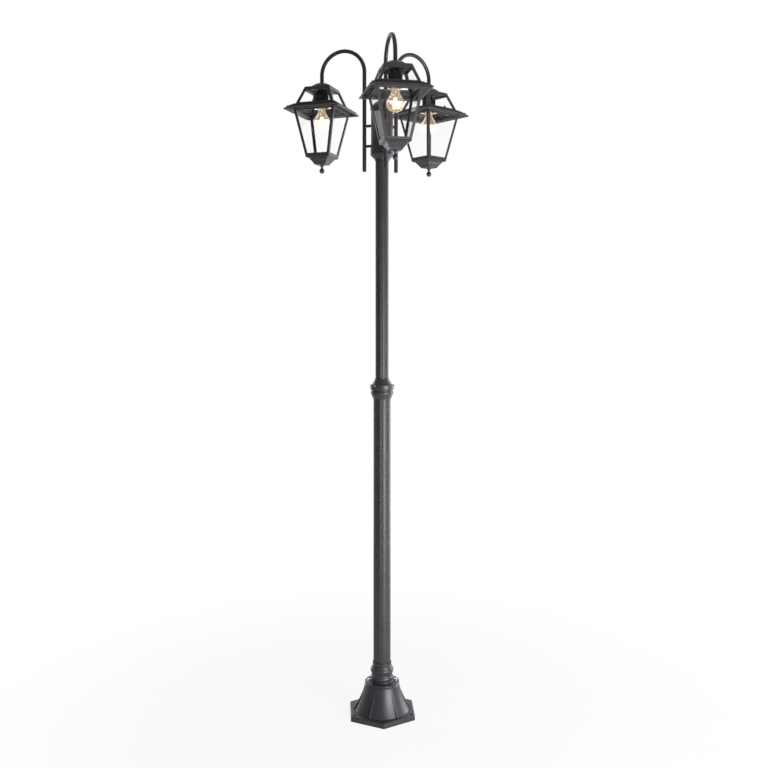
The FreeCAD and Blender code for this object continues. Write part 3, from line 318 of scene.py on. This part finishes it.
def raw_cast(name):
    """Bare cast aluminium with a sandy skin."""
    metal = Finish(name)
    where = metal.places()
    skin = metal.grain(where, scale=420.0, detail=4.0)
    cloud = metal.grain(where, scale=26.0)
    metal.set(Base_Color=metal.tint(metal.spread(cloud), CAST_DARK, CAST_PALE),
              Roughness=metal.spread(skin, to=(0.42, 0.62)), Metallic=1.0,
              Normal=metal.bump(skin, strength=0.4, depth=0.0004))
    return metal


def moulded(name, first, second, rough, sheen=0.3):
    """Moulded plastic with a fine spark-eroded skin."""
    plastic = Finish(name)
    where = plastic.places()
    cloud = plastic.grain(where, scale=40.0)
    skin = plastic.grain(where, scale=1500.0, detail=2.0)
    plastic.set(Base_Color=plastic.tint(plastic.spread(cloud), first, second),
                Roughness=plastic.spread(skin, to=about(rough, 0.15)), IOR=1.4,
                Specular_IOR_Level=sheen,
                Normal=plastic.bump(skin, strength=0.25, depth=0.00015))
    return plastic


def clear_glass(name, colour, ior, sheen, wave_scale, haze):
    """Clear glass that lets the lamps' light through, with a trace of waviness and haze."""
    glass = Finish(name)
    where = glass.places()
    wave = glass.grain(where, scale=wave_scale, detail=2.0)
    smear = glass.grain(where, scale=wave_scale * 1.7, detail=4.0)
    glass.set(Base_Color=colour, IOR=ior, Transmission_Weight=1.0, Specular_IOR_Level=sheen,
              Roughness=glass.spread(smear, span=(0.45, 0.75), to=(0.0, haze)),
              Normal=glass.bump(wave, strength=0.10, depth=0.0004))
    in_shadow = glass.add("LightPath").outputs["Is Shadow Ray"]
    open_way = glass.add("BsdfTransparent", {"Color": colour})
    glass.surface(glass.nodes["Material Output"], in_shadow, glass.shader, open_way)
    return glass


def bulb_glass(name):
    """Clear glass, faintly cream, with a painted warm glow that stands for the lit filaments'
    light in it.
    """
    glass = clear_glass(name, (1.0, 0.98, 0.935), ior=1.42, sheen=0.5, wave_scale=30.0, haze=0.02)
    # The glass glows by itself: a painted glow for the filaments' light in it.
    glass.set(Emission_Color=PAINTED_BULB_GLOW, Emission_Strength=0.07)
    return glass


def glowing(name, strength):
    """Lit filament with a slightly uneven coating."""
    lit = Finish(name)
    coat = lit.grain(lit.places(), scale=900.0, detail=2.0)
    colour = lit.tint(lit.spread(coat), FILAMENT_DEEP, FILAMENT_PALE)
    lit.set(Base_Color=colour, Emission_Color=colour, Emission_Strength=strength, Roughness=0.6)
    return lit


def finish_slots():
    """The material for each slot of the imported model."""
    finishes = {
        "coated_casting": powder_coat("anthracite_cast", cast=True),
        "coated_tube": powder_coat("anthracite_tube", cast=False),
        "raw_casting": raw_cast("bare_cast"),
        "bright_steel": plated("zinc_plated_steel", (0.62, 0.62, 0.63), (0.78, 0.78, 0.79),
                               rough=0.24, scratch=6.0),
        "dark_steel": plated("blackened_steel", (0.09, 0.088, 0.09), (0.14, 0.138, 0.14),
                             rough=0.34, scratch=6.0),
        "guide_plastic": moulded("guide_ring_plastic", (0.02, 0.02, 0.02),
                                 (0.035, 0.035, 0.035), rough=0.5),
        "fitting_brass": plated("turned_brass", (0.62, 0.44, 0.17), (0.75, 0.56, 0.25),
                                rough=0.26, scratch=6.0),
        "terminal_plastic": moulded("terminal_plastic", (0.68, 0.66, 0.60),
                                    (0.76, 0.74, 0.69), rough=0.45),
        "pane_glass": clear_glass("pane_glass", (0.985, 0.980, 0.983), ior=1.08, sheen=0.3,
                                  wave_scale=9.0, haze=0.04),
        "holder_plastic": moulded("holder_plastic", (0.005, 0.005, 0.0055),
                                  (0.009, 0.009, 0.0095), rough=0.55, sheen=0.12),
        "shell_brass": plated("shell_brass", (0.66, 0.48, 0.20), (0.78, 0.60, 0.30),
                              rough=0.3, scratch=3.0),
        "bulb_cap_metal": plated("nickel_cap", (0.58, 0.56, 0.52), (0.74, 0.72, 0.67),
                                 rough=0.22, scratch=5.0),
        "bulb_clear": bulb_glass("bulb_glass"),
        "filament_glow": glowing("filament_glow", strength=7.0),
    }
    return {slot: finish.material for slot, finish in finishes.items()}


def dress_frame():
    """Give every carried-over node the finish of its slot."""
    slots = {part["node"]: part["material_slot"] for part in frame["record"]["subparts"]}
    for node, piece in frame["nodes"].items():
        for place in piece.material_slots:
            place.material = FINISHES[slots[node]]


# ---- modelling calls ---------------------------------------------------------------------------

# An edge that bends less than this is shaded smooth.
SMOOTH_ANGLE = 32
# A face whose normal's upright share is past this is an end of an upright bar.
END_FACING = 0.9
QUARTER_TURN = math.pi / 2


def choose(*pieces):
    """Select these pieces alone; the first is the active one."""
    bpy.ops.object.select_all(action="DESELECT")
    for piece in pieces:
        piece.select_set(True)
    bpy.context.view_layer.objects.active = pieces[0]


def start_edit(action):
    """Edit the active mesh by its faces, with all or none of them selected."""
    bpy.ops.object.mode_set(mode="EDIT")
    bpy.ops.mesh.select_mode(type="FACE")
    bpy.ops.mesh.select_all(action=action)


def end_edit():
    """Go back to object mode."""
    bpy.ops.object.mode_set(mode="OBJECT")


def chamfer_ends(bar, width):
    """Round the borders of an upright bar's two end faces, the only ones that get selected."""
    start_edit("DESELECT")
    end_edit()
    for face in bar.data.polygons:
        face.select = abs(face.normal.z) > END_FACING
    bpy.ops.object.mode_set(mode="EDIT")
    bpy.ops.mesh.region_to_loop()
    bpy.ops.mesh.bevel(offset=width, segments=2, affect="EDGES")
    end_edit()


def round_bar(radius, low, high, sides, chamfer=0.0):
    """Upright bar on the axis; six sides make it a hexagon. Its ends are chamfered if asked."""
    bpy.ops.mesh.primitive_cylinder_add(vertices=sides, radius=radius, depth=high - low,
                                        location=(0, 0, (low + high) / 2))
    bar = bpy.context.object
    bpy.ops.object.transform_apply(location=True, rotation=True, scale=True)
    if chamfer:
        chamfer_ends(bar, chamfer)
    return bar


def weld(pieces):
    """Join pieces into the first one."""
    choose(*pieces)
    bpy.ops.object.join()
    return pieces[0]


def cut_away(piece, cutter):
    """Take one mesh out of another and drop the cutter."""
    choose(piece)
    cut = piece.modifiers.new("cut", "BOOLEAN")
    cut.operation = "DIFFERENCE"
    cut.object = cutter
    bpy.ops.object.modifier_apply(modifier=cut.name)
    bpy.data.objects.remove(cutter)


def copies(piece, count):
    """A piece and twins of it, each with its own mesh, so many in all."""
    pieces = [piece]
    while len(pieces) < count:
        twin = piece.copy()
        twin.data = piece.data.copy()
        bpy.context.scene.collection.objects.link(twin)
        pieces.append(twin)
    return pieces


def put(piece, place, rotation=(0, 0, 0)):
    """Move a piece from the origin to its place, and keep that in its mesh."""
    choose(piece)
    piece.rotation_euler = rotation
    piece.location = place
    bpy.ops.object.transform_apply(location=True, rotation=True, scale=True)


def hand_over(piece, name, body, slot, stands_for=None):
    """Name a finished piece, give it its finish and let it ride on its body."""
    piece.name = name
    piece.data.name = name
    choose(piece)
    bpy.ops.object.shade_smooth_by_angle(angle=math.radians(SMOOTH_ANGLE))
    piece.data.materials.clear()
    piece.data.materials.append(FINISHES[slot])
    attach(piece, body)
    if stands_for:
        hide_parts(stands_for)
    bpy.ops.object.select_all(action="DESELECT")


# ---- bolts, screws and nuts --------------------------------------------------------------------

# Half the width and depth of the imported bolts' heads, and how far the second one is turned more
# than the first, in radians.
BOLT_HALF = (0.0057, 0.005)
BOLT_TURN = 0.4

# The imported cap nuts' reach past their axes, how high they stand over their seats, how far each
# is turned, in radians, and the azimuth of the line that a lantern's two nuts lie on.
NUT_REACH = 0.0045
NUT_RISE = 0.0045
NUT_TURN = 0.3
NUT_LINES = {"front": 0, "right": 120, "left": 240}
# The nut's dome is a ball round the first level, cut off at the second, just inside the hexagon.
DOME_MIDDLE = 0.0054
DOME_FOOT = 0.0041
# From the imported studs' foot to the stud's own, and to the plain nut's lower and upper face.
STUD_LIFT = 0.0005
PLAIN_NUT_LIFT = (0.003, 0.005)


def foot_bolt():
    """Hexagon bolt on a washer; its seat is at the origin."""
    return weld([
        round_bar(radius=0.0064, low=0.0, high=0.0011, sides=40, chamfer=0.0002),
        round_bar(radius=0.0058, low=0.0011, high=0.0053, sides=6),
        round_bar(radius=0.0053, low=0.0049, high=0.0056, sides=36, chamfer=0.0003),
        round_bar(radius=0.003, low=-0.016, high=0.0012, sides=24),
    ])


def bolt_the_foot():
    """The two bright bolts on the disc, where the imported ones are."""
    low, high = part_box("foot_bolts")
    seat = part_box("base_casting")[1].z
    across = (high.x - low.x) / 2 - BOLT_HALF[0]
    back = (high.y - low.y) / 2 - BOLT_HALF[1]
    turn = -math.atan2(back, across)
    bolts = copies(foot_bolt(), 2)
    put(bolts[0], (across, -back, seat), (0, 0, turn))
    put(bolts[1], (-across, back, seat), (0, 0, turn + BOLT_TURN))
    hand_over(weld(bolts), "foot_bolts_bright", "base", "bright_steel", "foot_bolts")


def socket_screw(length):
    """Round-headed screw with a hexagon socket; its seat is at the origin and it points down."""
    head = round_bar(radius=0.0033, low=0.0, high=0.0022, sides=36, chamfer=0.0005)
    cut_away(head, round_bar(radius=0.0016, low=0.0008, high=0.004, sides=6))
    return weld([head, round_bar(radius=0.0024, low=-length, high=0.0002, sides=20)])


def screws_round(name, body, stands_for, azimuths, seat_radius, level, length):
    """Socket screws that point at the post's axis; azimuth 0 is the x axis."""
    screws = copies(socket_screw(length), len(azimuths))
    for screw, azimuth in zip(screws, azimuths):
        turn = math.radians(azimuth)
        put(screw, polar(seat_radius, turn, level), (0, QUARTER_TURN, turn))
    hand_over(weld(screws), name, body, "bright_steel", stands_for)


def screw_the_post():
    """The screws that clamp the lower tube in its socket and the upper tube in the collar."""
    screws_round("foot_socket_screws", "base", "foot_set_screws", azimuths=(50, 130),
                 seat_radius=0.0404, level=0.1532, length=0.0095)
    low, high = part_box("collar_set_screws")
    screws_round("collar_socket_screws", "lower_post", "collar_set_screws",
                 azimuths=(-136, -16, 104), seat_radius=0.0417, level=(low.z + high.z) / 2,
                 length=0.017)


def cap_nut():
    """Domed nut; its seat is at the origin."""
    nut = round_bar(radius=0.0041, low=0.0, high=0.0042, sides=6)
    bpy.ops.mesh.primitive_uv_sphere_add(segments=28, ring_count=16, radius=0.0034,
                                         location=(0, 0, DOME_MIDDLE))
    dome = bpy.context.object
    bpy.ops.object.transform_apply(location=True, rotation=True, scale=True)
    start_edit("SELECT")
    bpy.ops.mesh.bisect(plane_co=(0, 0, DOME_FOOT), plane_no=(0, 0, 1), use_fill=True,
                        clear_inner=True)
    end_edit()
    return weld([nut, dome])


def nut_the_eaves(side):
    """Two cap nuts on studs that clamp the cage under the eave, with a plain nut below each."""
    low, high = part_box(f"eave_screws_{side}")
    middle = (low + high) / 2
    seat = high.z - NUT_RISE
    foot = low.z - seat
    reach = math.hypot(high.x - low.x, high.y - low.y) / 2 - NUT_REACH
    stud = round_bar(radius=0.002, low=foot + STUD_LIFT, high=0.001, sides=16)
    under, over = (foot + lift for lift in PLAIN_NUT_LIFT)
    plain_nut = round_bar(radius=0.0029, low=under, high=over, sides=6)
    nuts = copies(weld([cap_nut(), stud, plain_nut]), 2)
    line = math.radians(NUT_LINES[side])
    for nut, way in zip(nuts, (1, -1)):
        spot = Vector((middle.x, middle.y, 0)) + polar(reach * way, line, seat)
        put(nut, spot, (0, 0, line + NUT_TURN * way))
    hand_over(weld(nuts), f"cap_nuts_{side}", f"lantern_{side}", "dark_steel",
              f"eave_screws_{side}")


# ---- filaments ---------------------------------------------------------------------------------

STRIPS = 6
FIRST_STRIP = 15
# How far from the axis the strips' middles are at their tops and their feet.
TOP_RADIUS = 0.0042
FOOT_RADIUS = 0.0078
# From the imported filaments' ends to the strips' own, and from the strips' feet to the wires.
STRIP_MARGIN = 0.001
WIRE_DROP = 0.0004
# The ring that the strips' tops meet: how far it reaches past them, and how high it sits.
RING_REACH = 0.0006
RING_LIFT = 0.0002


def light_the_bulb(side):
    """Six filaments that splay out from the stem, with the wires that carry them."""
    low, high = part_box(f"bulb_filaments_{side}")
    axis = Vector(((low.x + high.x) / 2, (low.y + high.y) / 2, 0))
    top, foot = high.z - STRIP_MARGIN, low.z + STRIP_MARGIN
    wire_level = Vector((0, 0, foot - WIRE_DROP))
    rise, splay = top - foot, FOOT_RADIUS - TOP_RADIUS
    half = math.hypot(rise, splay) / 2
    strips = copies(round_bar(radius=0.0010, low=-half, high=half, sides=12, chamfer=0.0004),
                    STRIPS)
    wires = copies(round_bar(radius=0.00028, low=0.0, high=FOOT_RADIUS, sides=8), STRIPS)
    for index in range(STRIPS):
        turn = math.radians(360 / STRIPS * index + FIRST_STRIP)
        spot = polar((TOP_RADIUS + FOOT_RADIUS) / 2, turn, (top + foot) / 2)
        put(strips[index], axis + spot, (0, -math.atan2(splay, rise), turn))
        put(wires[index], axis + wire_level, (0, QUARTER_TURN, turn))
    hand_over(weld(strips), f"filament_strips_{side}", f"bulb_{side}", "filament_glow",
              f"bulb_filaments_{side}")
    ring = round_bar(radius=TOP_RADIUS + RING_REACH, low=0.0, high=0.0009, sides=24,
                     chamfer=0.0002)
    put(ring, axis + Vector((0, 0, top + RING_LIFT)))
    stem = round_bar(radius=0.0005, low=0.0, high=rise, sides=10)
    put(stem, axis + wire_level)
    hand_over(weld([ring, *wires, stem]), f"filament_wires_{side}", f"bulb_{side}",
              "bulb_cap_metal")


place_camera()
bpy.context.scene.view_settings.view_transform = "Standard"
white_room()
light_room()
lay_floor()
FINISHES = finish_slots()
dress_frame()
bolt_the_foot()
screw_the_post()
for lantern in NUT_LINES:
    nut_the_eaves(lantern)
    light_the_bulb(lantern)
